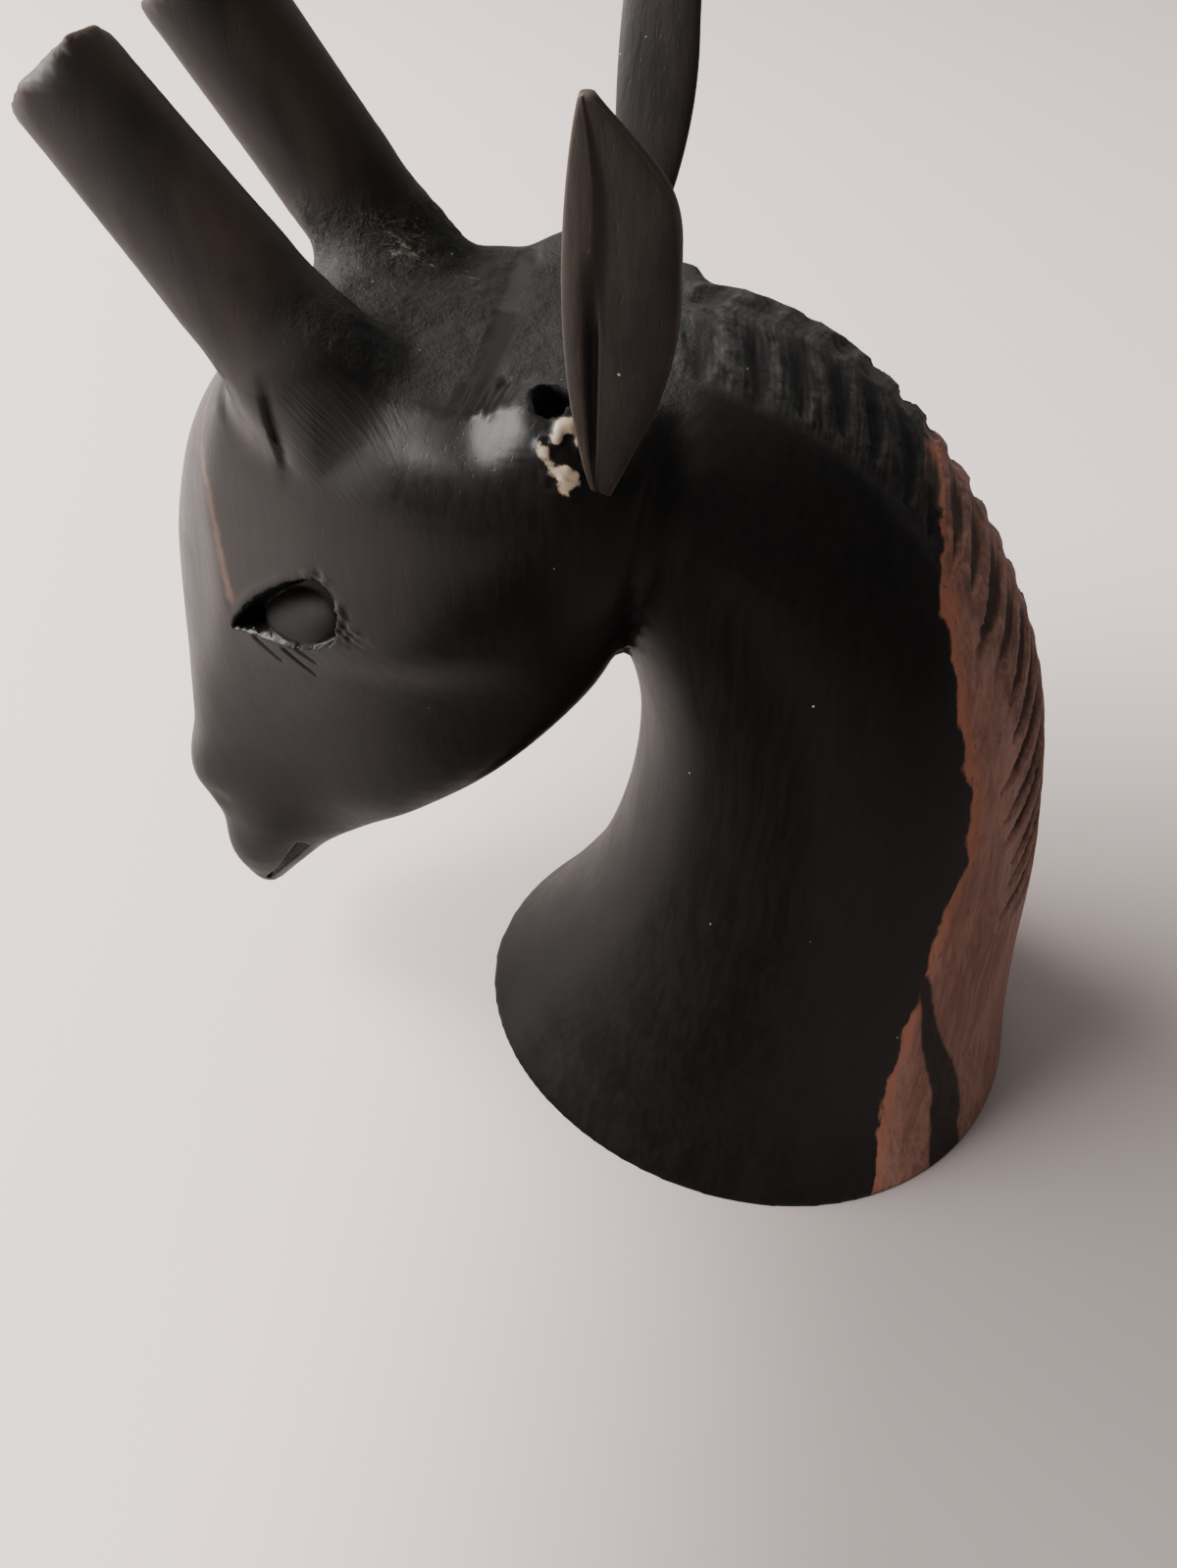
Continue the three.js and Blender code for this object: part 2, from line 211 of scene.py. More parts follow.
def run_through(points, shares, tension=0.5, closed=False, held_ends=False):
    """Places on a smooth curve through the points, at shares of its run from 0 to 1."""
    p = np.asarray(points, float)
    if closed:
        padded = np.vstack([p[-1:], p, p[:2]])
        spans = len(p)
    else:
        before = p[:1] if held_ends else 2 * p[:1] - p[1:2]
        after = p[-1:] if held_ends else 2 * p[-1:] - p[-2:-1]
        padded = np.vstack([before, p, after])
        spans = len(p) - 1
    where = np.atleast_1d(shares) * spans
    i = np.clip(where.astype(int), 0, spans - 1)
    f = (where - i)[:, None]
    a, b, c, d = (padded[i + k] for k in range(4))
    leave, arrive = tension * (c - a), tension * (d - b)
    bend = f * f * f * (2 * (b - c) + leave + arrive)
    return bend + f * f * (3 * (c - b) - 2 * leave - arrive) + f * leave + b


def neck_points(t, angle):
    """Neck surface at shares t up the neck and angles from the crest; both are flat arrays."""
    crest = run_through(NECK_CREST, t, held_ends=True)
    throat = run_through(NECK_THROAT, t, held_ends=True)
    width = run_through(NECK_HALF_WIDTH, t, held_ends=True)[:, 0]
    along = ((1 + np.cos(angle)) / 2)[:, None]
    fullness = 1 + HEEL * np.exp(-HEEL_FADE * np.clip(t, 0, 1)) * np.cos(angle)
    line = throat + (crest - throat) * along
    return np.column_stack([width * fullness * np.sin(angle), line])


def grid(first, second):
    """Two flat arrays that run over every pair, the second one fastest."""
    a, b = np.meshgrid(first, second, indexing="ij")
    return a.ravel(), b.ravel()


def skin(rings):
    """Points and faces of a closed skin over rings of equal length, with a fan at each end."""
    rings = np.asarray(rings)
    count, sides = rings.shape[:2]
    r, s = grid(np.arange(count - 1), np.arange(sides))
    near, far = r * sides + s, r * sides + (s + 1) % sides
    walls = np.column_stack([near, far, far + sides, near + sides]).tolist()
    points = np.vstack([rings.reshape(-1, 3), rings[0].mean(0), rings[-1].mean(0)])
    start, end = count * sides, count * sides + 1
    last = (count - 1) * sides
    for s in range(sides):
        walls.append([start, (s + 1) % sides, s])
        walls.append([end, last + s, last + (s + 1) % sides])
    return points, walls


RING_SIDES = 144
NECK_RUNS_BELOW = 2.0  # the neck starts below the floor and is sawn off level later

neck_t, neck_angle = grid(np.linspace(0, 1, 150), np.linspace(0, 2 * math.pi, RING_SIDES, endpoint=False))
neck_rings = neck_points(neck_t, neck_angle).reshape(150, RING_SIDES, 3)
sunk_ring = neck_rings[:1] * (1, 1, 0) - (0, 0, NECK_RUNS_BELOW)
neck_rings = np.concatenate([sunk_ring, neck_rings])

FACE = [
    (0, -37.5, CROWN_HEIGHT), (0, -46, 78), (0, -52, 71), (0, -56, 62), (0, -58, 53), (0, -59.2, 45),
    (0, -60.8, 37), (0, -62.8, 30), (0, -61.2, 23.4), (0, -61.8, 16.5), (0, -60, 10.6),
]
BROW = [
    (10, -38, 81.5), (10.5, -44, 77.5), (10.2, -47.4, 70), (10.8, -48.4, 60), (9, -51.5, 52), (7, -55.2, 44.5),
    (5.6, -58, 36.5), (4.8, -60.6, 29.5), (4, -59.6, 22.8), (3.6, -60.2, 16), (2, -59.4, 10.3),
]
CHEEK = [
    (14, -26, 80.5), (17.4, -26.5, 77), (19.2, -27, 70), (18, -29, 62.5), (14.6, -33.5, 55), (11.2, -40, 46.5),
    (8.4, -46.5, 38), (6.8, -51, 30), (5.8, -54, 22.6), (4.6, -57, 15.6), (2.6, -58, 9.8),
]
JAW = [
    (12.5, -12.5, 80.5), (15.6, -12.5, 77.5), (16.6, -13, 71), (15.4, -14, 64.5), (13.8, -17.8, 55.5),
    (12, -26, 44), (8.8, -35.5, 33.5), (5.8, -42.5, 26.5), (4.4, -48.4, 21), (3.4, -53, 15.2), (1.8, -56.4, 10),
]
GULLET = [
    (0, -14, 81.5), (0, -14, 78), (0, -14, 71), (0, -14.6, 63.5), (0, -17, 53.5), (0, -25, 42),
    (0, -34, 32), (0, -41.5, 25.5), (0, -47.4, 20), (0, -52.2, 14.6), (0, -56, 10.2),
]
SECTION_TENSION = 0.42
BROW_EDGE = 0.5  # how crisply the side of the face turns at the brow, from 0 to 1
BROW_EDGE_SPAN = (0.06, 0.42)  # shares of the run from crown to muzzle over which it is crisp


def head_ring(t):
    """One section of the head at share t of the way from the crown to the muzzle."""
    half = [run_through(line, [t])[0] for line in (FACE, BROW, CHEEK, JAW, GULLET)]
    around = np.array(half + [p * (-1, 1, 1) for p in half[3:0:-1]])
    shares = np.arange(RING_SIDES) / RING_SIDES
    rounded = run_through(around, shares, SECTION_TENSION, closed=True)
    planed = run_through(around, shares, 0, closed=True)
    place = shares * len(around)
    from_brow = np.minimum(abs(place - 1), abs(place - 7))
    start, end = BROW_EDGE_SPAN
    swell = np.clip((t - start) / 0.08, 0, 1) * np.clip((end - t) / 0.1, 0, 1)
    crisp = BROW_EDGE * swell * np.clip(1 - from_brow / 0.5, 0, 1)[:, None]
    return rounded * (1 - crisp) + planed * crisp


head_rings = np.array([head_ring(t) for t in np.linspace(0, 1, 130)])

HORNS = [
    {"root": (10, -37.8, 81), "lean": (-0.05, -0.6, 0.8), "length": 22, "shaft": 5, "tip": 4},
    {"root": (-9.5, -37.2, 81), "lean": (0.04, -0.53, 0.85), "length": 23, "shaft": 4.8, "tip": 4.7},
]
HORN_ROOT_DEPTH = 5
HORN_FLARE = 0.2
HORN_FLARE_REACH = 3
HORN_SIDE_SHARE = 0.92


def unit(v):
    v = np.asarray(v, float)
    return v / np.linalg.norm(v)


def horn_rings(root, lean, length, shaft, tip):
    """Sections of a straight tapered post that flares where it leaves the crown."""
    axis = unit(lean)
    across = unit(np.array([1, 0, 0]) - axis * axis[0])
    forward = np.cross(axis, across)
    turn = np.linspace(0, 2 * math.pi, 72, endpoint=False)
    oval = np.outer(np.cos(turn) * HORN_SIDE_SHARE, across) + np.outer(np.sin(turn), forward)
    rings = []
    for reach in np.linspace(-HORN_ROOT_DEPTH, length, 60):
        out = max(reach, 0)
        flare = 1 + HORN_FLARE * math.exp(-out / HORN_FLARE_REACH)
        radius = (shaft + (tip - shaft) * out / length) * flare
        rings.append(np.array(root) + axis * reach + oval * radius)
    return rings


def merged_block(skins):
    """One closed mesh round all the skins, made on the voxel grid."""
    mesh = bpy.data.meshes.new("raw_block")
    points, faces = [], []
    for skin_points, skin_faces in skins:
        shift = sum(len(p) for p in points)
        points.append(skin_points * MM)
        faces += [[i + shift for i in face] for face in skin_faces]
    mesh.from_pydata(np.vstack(points).tolist(), [], faces)
    block = bpy.data.objects.new("raw_block", mesh)
    bpy.context.scene.collection.objects.link(block)
    remesh = block.modifiers.new("merge", "REMESH")
    remesh.mode = "VOXEL"
    remesh.voxel_size = VOXEL * MM
    bpy.context.view_layer.update()
    depsgraph = bpy.context.evaluated_depsgraph_get()
    merged = bpy.data.meshes.new_from_object(block.evaluated_get(depsgraph))
    bpy.data.objects.remove(block)
    return merged


def read_points(mesh):
    flat = np.empty(len(mesh.vertices) * 3)
    mesh.vertices.foreach_get("co", flat)
    return flat.reshape(-1, 3) / MM


def write_points(mesh, points):
    mesh.vertices.foreach_set("co", (points * MM).ravel())
    mesh.update()


def relax(mesh, rounds, weight=None, push=-0.52):
    """Even out the skin: each round pulls it in, then pushes it back, so that it doesn't shrink."""
    edges = np.empty(len(mesh.edges) * 2, int)
    mesh.edges.foreach_get("vertices", edges)
    a, b = edges.reshape(-1, 2).T
    points = read_points(mesh)
    count = np.bincount(np.concatenate([a, b]), minlength=len(points))[:, None]
    weight = 1 if weight is None else weight[:, None]
    for pull in [0.5, push] * rounds:
        total = np.zeros_like(points)
        for k in range(3):
            total[:, k] = np.bincount(a, points[b, k], len(points)) + np.bincount(b, points[a, k], len(points))
        points = points + weight * pull * (total / count - points)
    write_points(mesh, points)


body_mesh = merged_block(
    [skin(neck_rings), skin(head_rings)] + [skin(horn_rings(**horn)) for horn in HORNS]
)
relax(body_mesh, 10)

HORN_BLEND_REACH = 8.5  # the horns' roots run into the crown and the temples in a soft hollow
HORN_BLEND_ROUNDS = 26


def distance_to(points, place):
    return np.linalg.norm(points - np.asarray(place), axis=1)


def mirrored(points, side):
    return points * (side, 1, 1)


def fade(distance, reach, soft):
    """1 within the reach, falling to 0 over the soft width beyond it."""
    f = np.clip((reach + soft - distance) / soft, 0, 1)
    return f * f * (3 - 2 * f)


points = read_points(body_mesh)
at_roots = np.max([fade(distance_to(points, horn["root"]), HORN_BLEND_REACH - 3, 3) for horn in HORNS], axis=0)
relax(body_mesh, HORN_BLEND_ROUNDS, at_roots, push=0)


def finer(mesh, chosen):
    """Halve the grid wherever all the corners of a face are chosen."""
    bm = bmesh.new()
    bm.from_mesh(mesh)
    edges = set()
    for face in bm.faces:
        if all(chosen[v.index] for v in face.verts):
            edges.update(face.edges)
    bmesh.ops.subdivide_edges(bm, edges=list(edges), cuts=1, use_grid_fill=True)
    bm.to_mesh(mesh)
    bm.free()


def lumps(points, size, seed):
    """A smooth random field from -1 to 1, with lumps about one size across in millimetres."""
    lattice = np.random.default_rng(seed).uniform(-1, 1, (64, 64, 64))
    p = points / size
    cell = np.floor(p).astype(int)
    f = p - cell
    f = f * f * (3 - 2 * f)
    total = np.zeros(len(p))
    for corner in np.ndindex(2, 2, 2):
        weight = np.prod(np.where(np.array(corner) == 1, f, 1 - f), axis=1)
        i, j, k = ((cell + corner) % 64).T
        total += weight * lattice[i, j, k]
    return total


# The mane: gouge strokes in a herringbone, each a tapered leaf that runs down from the crest.
STROKES_A_SIDE = 20
STROKE_TOP = 0.89
STROKE_BOTTOM = 0.37
STROKE_CROWDING = 0.82
STROKE_SPREAD = (0.48, 0.6)
STROKE_DROP = (0.022, 0.036)
STROKE_DEPTH = (0.5, 0.62)
STROKE_HALF_SHARE = (0.33, 0.4)  # half width as a share of the spacing, at the top and the bottom
chance = np.random.default_rng(5)
stroke_length = 1 + 0.16 * chance.uniform(-1, 1, (2, STROKES_A_SIDE))
stroke_push = 1 + 0.2 * chance.uniform(-1, 1, (2, STROKES_A_SIDE))
stroke_shift = 0.1 * chance.uniform(-1, 1, (2, STROKES_A_SIDE))


def place_on_neck(points):
    """Share up the neck, angle from the crest and distance off, for points near the crest."""
    t, angle = grid(np.linspace(0.3, 0.98, 420), np.linspace(-0.95, 0.95, 121))
    tree = kdtree.KDTree(len(t))
    for i, p in enumerate(neck_points(t, angle)):
        tree.insert(p, i)
    tree.balance()
    found = [tree.find(p) for p in points]
    nearest = np.array([f[1] for f in found])
    return t[nearest], angle[nearest], np.array([f[2] for f in found])


def mane_strokes(t, angle):
    """Depth of the gouging, the stroke's running number and the share of the way down the mane."""
    side = (angle < 0).astype(int)
    sweep = abs(angle)
    f = np.clip((STROKE_TOP - t) / (STROKE_TOP - STROKE_BOTTOM), 0, 1)
    spread = STROKE_SPREAD[0] + (STROKE_SPREAD[1] - STROKE_SPREAD[0]) * f
    drop = STROKE_DROP[0] + (STROKE_DROP[1] - STROKE_DROP[0]) * f
    start = t + drop * sweep / spread
    run = (STROKE_TOP - start) / (STROKE_TOP - STROKE_BOTTOM)
    number = np.sign(run) * abs(run) ** (1 / STROKE_CROWDING) * (STROKES_A_SIDE - 1)
    k = np.clip(np.round(number), 0, STROKES_A_SIDE - 1).astype(int)
    along = sweep / (spread * stroke_length[side, k])
    across = number - k - stroke_shift[side, k] * np.minimum(along * 2, 1)
    taper = np.clip((1.04 - along) / 0.5, 0, 1) ** 0.6
    half_width = (STROKE_HALF_SHARE[0] + (STROKE_HALF_SHARE[1] - STROKE_HALF_SHARE[0]) * f) * taper + 1e-6
    bowl = np.clip(1 - (across / half_width) ** 2, 0, 1) ** 0.75
    reach = 0.12 + 0.88 * np.clip(along / 0.42, 0, 1)
    deepest = STROKE_DEPTH[0] + (STROKE_DEPTH[1] - STROKE_DEPTH[0]) * f
    return deepest * stroke_push[side, k] * bowl * reach * taper ** 0.5, number, f


# The eyes: an almond cut under a heavy brow. The ball stands low in it and leans back into the dark.
# a runs from the front corner back, b runs up, both on a plane that touches the face.
EYE_CENTRE = (13.6, -42, 60.6)
EYE_ALONG = unit((0.37, 0.84, 0.4))
EYE_OUT = unit(np.array((0.87, -0.48, 0.1)) - EYE_ALONG * np.dot((0.87, -0.48, 0.1), EYE_ALONG))
EYE_UP = np.cross(EYE_OUT, EYE_ALONG)
EYE_OUTLINE = [
    (-7.6, -0.8), (-2.9, 1.5), (2.3, 2.9), (6, 3.3), (7.9, 2.7), (7.9, 1), (6.6, -0.9),
    (4.9, -2.4), (2.6, -3), (-0.6, -3), (-3.5, -2.1), (-6, -1.4),
]
EYE_RECESS = 2.9
EYE_WALL = 0.5  # width of the steep wall round the recess
BALL_CENTRE = (-0.5, -1)
BALL_HALF = (5, 3.1)
BALL_SINK = 0.95
BALL_LEAN = 0.42  # how fast the ball goes back towards its top
BALL_RISE = 1.5
LID_RISE = 0.07
LASH_CUTS = [((-2.2, -3.2), (-1.1, -6)), ((-0.5, -3), (0.5, -4.6)), ((-5.2, -2), (-3.9, -4.4))]
LASH_CUT_DEPTH = 0.28
LASH_CUT_HALF_WIDTH = 0.34
EYE_REAR_ROUGHNESS = 0.22


def inside_distance(a, b, outline):
    """Distance in from a closed outline; negative outside it."""
    ring = run_through(outline, np.linspace(0, 1, 96, endpoint=False), closed=True)
    nxt = np.roll(ring, -1, axis=0)
    p = np.column_stack([a, b])[:, None]
    run = nxt - ring
    share = np.clip(((p - ring) * run).sum(-1) / (run * run).sum(-1), 0, 1)
    gap = np.linalg.norm(p - ring - share[..., None] * run, axis=-1).min(1)
    above = (ring[:, 1] > p[..., 1]) != (nxt[:, 1] > p[..., 1])
    cross = ring[:, 0] + (p[..., 1] - ring[:, 1]) / (run[:, 1] + 1e-12) * run[:, 0]
    inside = (above & (p[..., 0] < cross)).sum(1) % 2 == 1
    return np.where(inside, gap, -gap)


def near_line(points, start, end):
    """Distance to a straight line between two places, and the share of the way along it."""
    start, end = np.asarray(start, float), np.asarray(end, float)
    run = end - start
    share = np.clip((points - start) @ run / (run @ run), 0, 1)
    return np.linalg.norm(points - start - share[:, None] * run, axis=1), share


def eye_cut(points, side):
    """How deep the eye is cut at each point, and how far the point lies inside its outline."""
    local = mirrored(points, side) - np.asarray(EYE_CENTRE)
    a, b = local @ EYE_ALONG, local @ EYE_UP
    inside = inside_distance(a, b, EYE_OUTLINE)
    recess = EYE_RECESS * np.clip(inside / EYE_WALL, 0, 1)
    bulge = 1 - ((a - BALL_CENTRE[0]) / BALL_HALF[0]) ** 2 - ((b - BALL_CENTRE[1]) / BALL_HALF[1]) ** 2
    dome = BALL_RISE * (1 - np.sqrt(np.clip(bulge, 0, 1)))
    ball = BALL_SINK + BALL_LEAN * (b - BALL_CENTRE[1]) + dome + 99 * (bulge < 0)
    cut = np.where(inside > 0, np.minimum(recess, ball), 0)
    lid = np.exp(-((inside + 0.5) / 0.35) ** 2) * (b > -1) * np.clip((6 - abs(a)) / 3, 0, 1)
    cut -= LID_RISE * lid
    flat = np.column_stack([a, b])
    for start, end in LASH_CUTS:
        gap, share = near_line(flat, start, end)
        cut += LASH_CUT_DEPTH * np.clip(1 - gap / LASH_CUT_HALF_WIDTH, 0, 1) * (1 - 0.6 * share)
    rear = fade(abs(a - 7.4), 0.8, 1.2) * fade(abs(b - 0.6), 2.6, 1.4)
    cut += EYE_REAR_ROUGHNESS * rear * lumps(mirrored(points, side), 0.55, 3)
    return cut, inside


# The mouth: one wedge-shaped knife cut on each side of the muzzle, blunt at its upper end.
MOUTH_REAR = (4.8, -50.6, 21)
MOUTH_FRONT = (3, -57.1, 11.7)
MOUTH_HALF_GAPE = (0.75, 0.35)  # at its upper end and at the lips
MOUTH_DEPTH = 0.9

# A knife crease under the bulge of the nose.
NOSE_CREASE = [(-5.2, -58.6, 27.4), (0, -62.6, 26.6), (5.2, -58.6, 27.4)]
NOSE_CREASE_DEPTH = 0.38
NOSE_CREASE_REACH = 1.3

# The drilled hole beside the left ear, left open, with crumbs of glue between it and the ear.
HOLE_CENTRE = (12.6, -19, 79.8)
HOLE_AXIS = unit((0.45, -0.1, 0.88))
HOLE_RADIUS = 1.5
HOLE_DEPTH = 2.6
CRUMB_PLACES = [(16, -18.4, 79), (16.6, -16.8, 78.6), (15, -17.6, 79.6), (16.9, -18, 77.6)]
CRUMB_RISE = 0.35

# The crown is left from the rasp: uneven, with a low swelling before the right ear.
CROWN_SWELLING = (-13.5, -22, 79.5)
CROWN_SWELLING_RISE = 1.6
CROWN_FRONT, CROWN_BACK = -42, -13
EAR_MOUND = (13.4, -19.2, 79.2)  # the wood swells round the left ear's root and the drilled hole
EAR_MOUND_RISE = 1.5
POLISHED_SPOT = (11.6, -23.9, 80.4)
POLISHED_LINE = [(-11.7, -26.2, 80.6), (1.7, -25, 81), (11.3, -24.6, 80.6)]
FLUTE_PITCH = 1.25

# A flat strip comes down from each horn in front of a small dark step.
FILLET_TOP, FILLET_LOW = (15, -38.9, 82.5), (14.2, -39.2, 71)
FILLET_STEP = 0.6
CROWN_LOW = 78


def crown_share(points):
    """1 on the rough crown between horns and mane, 0 on the polished sides."""
    x, y, z = points.T
    across = fade(abs(x), 11.5, 3)
    length = fade(-y, -CROWN_FRONT, 2) * fade(y, CROWN_BACK, 5)
    return across * length * np.clip((z - CROWN_LOW) / 2, 0, 1) * fade(z, 84, 4)


def wanted_finer(points, level):
    """Where the grid is halved: over mane and crown once, round eyes, mouth and hole twice."""
    chosen = np.zeros(len(points), bool)
    for side in (1, -1):
        p = mirrored(points, side)
        chosen |= distance_to(p, EYE_CENTRE) < (10.5 if level == 0 else 9)
        chosen |= near_line(p, MOUTH_REAR, MOUTH_FRONT)[0] < 2.5
    chosen |= distance_to(points, HOLE_CENTRE) < 5.5
    if level == 0:
        chosen |= crown_share(points) > 0
        chosen |= (points[:, 2] > 75) & (abs(points[:, 1] + 37) < 9) & (points[:, 2] < 88)
        top = (points[:, 2] > 26) & (points[:, 1] > -16) & (abs(points[:, 0]) < 13)
        chosen |= top & (points[:, 1] > 16 - 0.9 * np.clip(points[:, 2] - 60, 0, 99))
    return chosen


for level in range(2):
    finer(body_mesh, wanted_finer(read_points(body_mesh), level))
relax(body_mesh, 2)


def point_normals(mesh):
    normals = np.empty(len(mesh.vertices) * 3)
    mesh.vertex_normals.foreach_get("vector", normals)
    return normals.reshape(-1, 3)


points = read_points(body_mesh)
normals = point_normals(body_mesh)
shift = np.zeros_like(points)

over_mane = (points[:, 2] > 24) & (points[:, 1] > -18) & (abs(points[:, 0]) < 14)
t, angle, off = place_on_neck(points[over_mane])
depth, number, down_mane = mane_strokes(t, angle)
depth *= off < 2
in_mane = fade(abs(angle), 0.5, 0.12) * fade(abs(t - 0.63), 0.27, 0.03) * (off < 2)
ridges = (1 - down_mane) * in_mane * 0.12 * lumps(points[over_mane], 0.9, 8)
shift[over_mane] -= normals[over_mane] * (depth + ridges)[:, None]
gouged = np.zeros(len(points))
gouged[over_mane] = depth / STROKE_DEPTH[1]
mane = np.zeros(len(points))
mane[over_mane] = in_mane
stroke_run = np.zeros(len(points))
stroke_run[over_mane] = number
mane_height = np.zeros(len(points))
mane_height[over_mane] = 1 - down_mane

eye_depth = np.zeros(len(points))
for side in (1, -1):
    near = distance_to(mirrored(points, side), EYE_CENTRE) < 11
    cut, inside = eye_cut(points[near], side)
    shift[near] -= mirrored(EYE_OUT, side) * cut[:, None]
    eye_depth[near] += np.clip(inside, 0, 1)
    gap, share = near_line(mirrored(points, side), MOUTH_REAR, MOUTH_FRONT)
    half_gape = MOUTH_HALF_GAPE[0] + (MOUTH_HALF_GAPE[1] - MOUTH_HALF_GAPE[0]) * share
    wedge = MOUTH_DEPTH * np.clip(1 - gap / half_gape, 0, 1) ** 0.7
    shift -= normals * wedge[:, None]

from_hole = points - HOLE_CENTRE
beside = np.linalg.norm(from_hole - np.outer(from_hole @ HOLE_AXIS, HOLE_AXIS), axis=1)
in_hole = np.clip((HOLE_RADIUS - beside) / 0.3, 0, 1) * (distance_to(points, HOLE_CENTRE) < 4)
shift -= np.outer(in_hole * HOLE_DEPTH, HOLE_AXIS)

for start, end in zip(NOSE_CREASE, NOSE_CREASE[1:]):
    gap, share = near_line(points, start, end)
    shift -= normals * (NOSE_CREASE_DEPTH * np.exp(-(gap / NOSE_CREASE_REACH) ** 2))[:, None] / 2

crumbs = np.max([fade(distance_to(points, place), 0.5, 1) for place in CRUMB_PLACES], axis=0)
crumbs *= (1 - in_hole) * np.clip(0.35 + lumps(points, 0.7, 11), 0, 1)
polished = fade(distance_to(points, POLISHED_SPOT), 1.6, 1.8)
flutes = polished * 0.16 * np.cos(2 * math.pi * points[:, 1] / FLUTE_PITCH)
for start, end in zip(POLISHED_LINE, POLISHED_LINE[1:]):
    polished = np.maximum(polished, fade(near_line(points, start, end)[0], 0.5, 0.9))
crown = crown_share(points) * (1 - polished)
mound = EAR_MOUND_RISE * fade(distance_to(points, EAR_MOUND), 1.2, 4.6)
swelling = CROWN_SWELLING_RISE * fade(distance_to(points, CROWN_SWELLING), 1, 4.5)
rasped = 0.16 * lumps(points, 2.6, 21) + 0.1 * lumps(points, 1.1, 22) + 0.06 * lumps(points, 0.6, 23)
step = np.zeros(len(points))
for side in (1, -1):
    gap, share = near_line(mirrored(points, side), FILLET_TOP, FILLET_LOW)
    behind = points[:, 1] - (FILLET_TOP[1] + (FILLET_LOW[1] - FILLET_TOP[1]) * share)
    reach = np.clip(behind / 0.35, 0, 1) * np.exp(-np.maximum(behind, 0) / 1.5) * fade(gap, 2.5, 1.5)
    step += (FILLET_STEP * reach * np.sin(math.pi * np.clip(share * 1.25, 0, 1))) * (points[:, 0] * side > 0)
shift += normals * (CRUMB_RISE * crumbs + swelling + mound + flutes + crown * rasped - step)[:, None]

write_points(body_mesh, points + shift)


def keep_value(mesh, name, values):
    """Store one number a point on the mesh, for the material to read."""
    layer = mesh.attributes.new(name, "FLOAT", "POINT")
    layer.data.foreach_set("value", np.asarray(values, np.float32))


def edge_of(mesh, rounds=2):
    """How far each point stands out of its surroundings, as a bend in 1/mm; hollows are negative."""
    points, normals = read_points(mesh), point_normals(mesh)
    edges = np.empty(len(mesh.edges) * 2, int)
    mesh.edges.foreach_get("vertices", edges)
    a, b = edges.reshape(-1, 2).T
    run = points[b] - points[a]
    square = (run * run).sum(1)
    bend = np.zeros(len(points))
    count = np.bincount(np.concatenate([a, b]), minlength=len(points))
    bend += np.bincount(a, -(run * normals[a]).sum(1) / square, len(points))
    bend += np.bincount(b, (run * normals[b]).sum(1) / square, len(points))
    bend = bend / count * 2
    for _ in range(rounds):
        bend = (bend + (np.bincount(a, bend[b], len(points)) + np.bincount(b, bend[a], len(points))) / count) / 2
    return bend


# Where the pale sapwood begins, as the distance back from the middle at each height.
SAP_HEIGHTS = (0, 16, 27, 34, 41, 46, 51, 57, 61, 65, 67, 72, 74, 77)
SAP_STARTS = (15.7, 14.6, 15.4, 15.1, 15.9, 15.8, 14.8, 12.6, 11.3, 10, 9.3, 8, 6.9, 6)
STREAK_HEIGHTS = (0, 10, 20, 30, 32)
STREAK_PLACES = (23.4, 21.6, 18.1, 15.2, 14.6)
STREAK_HALF_WIDTHS = (1.35, 1.15, 0.75, 0.4, -0.6)
BROW_LINE = [(6.2, -46.6, 77.4), (8.8, -47.9, 73.5), (10.6, -47.4, 69), (11.5, -47.3, 60)]
HATCHED_PLACE = (15.4, -33.6, 78.6)

x, y, z = points.T
sapwood = y - np.interp(z, SAP_HEIGHTS, SAP_STARTS)
streak = np.interp(z, STREAK_HEIGHTS, STREAK_HALF_WIDTHS) - abs(y - np.interp(z, STREAK_HEIGHTS, STREAK_PLACES)) * 0.8
brow_line = np.full(len(points), 9.0)
fillet = np.zeros(len(points))
hatched = np.zeros(len(points))
horn_share = np.zeros(len(points))
for side in (1, -1):
    p = mirrored(points, side)
    for start, end in zip(BROW_LINE, BROW_LINE[1:]):
        brow_line = np.minimum(brow_line, near_line(p, start, end)[0])
    fillet = np.maximum(fillet, fade(near_line(p, FILLET_TOP, FILLET_LOW)[0], 0.4, 1.5))
    hatched = np.maximum(hatched, fade(distance_to(p, HATCHED_PLACE), 2.4, 3.2))
for horn in HORNS:
    up_horn = (points - horn["root"]) @ unit(horn["lean"])
    horn_share = np.maximum(horn_share, fade(-up_horn, -3.5, 4) * (z > 81) * (y < -30))

for name, values in {
    "gouged": gouged, "mane": mane, "stroke_run": stroke_run, "mane_height": mane_height, "sapwood": sapwood,
    "streak": streak, "brow_line": brow_line, "fillet": fillet, "hatched": hatched, "horn": horn_share,
    "crown": crown, "crumbs": crumbs, "eye": eye_depth, "polished": polished,
}.items():
    keep_value(body_mesh, name, values)
keep_value(body_mesh, "edge", edge_of(body_mesh))

saw = bmesh.new()
saw.from_mesh(body_mesh)
bmesh.ops.bisect_plane(
    saw, geom=saw.verts[:] + saw.edges[:] + saw.faces[:], dist=1e-7,
    plane_co=(0, 0, 0), plane_no=(0, 0, 1), clear_inner=True,
)
rim = [e for e in saw.edges if e.is_boundary]
bmesh.ops.edgeloop_fill(saw, edges=rim)
bmesh.ops.recalc_face_normals(saw, faces=saw.faces[:])
saw.to_mesh(body_mesh)
saw.free()
print("body triangles", sum(len(f.vertices) - 2 for f in body_mesh.polygons))

body = bpy.data.objects.new("carved_head_and_neck", body_mesh)
bpy.context.scene.collection.objects.link(body)
for face in body_mesh.polygons:
    face.use_smooth = len(face.vertices) < 20


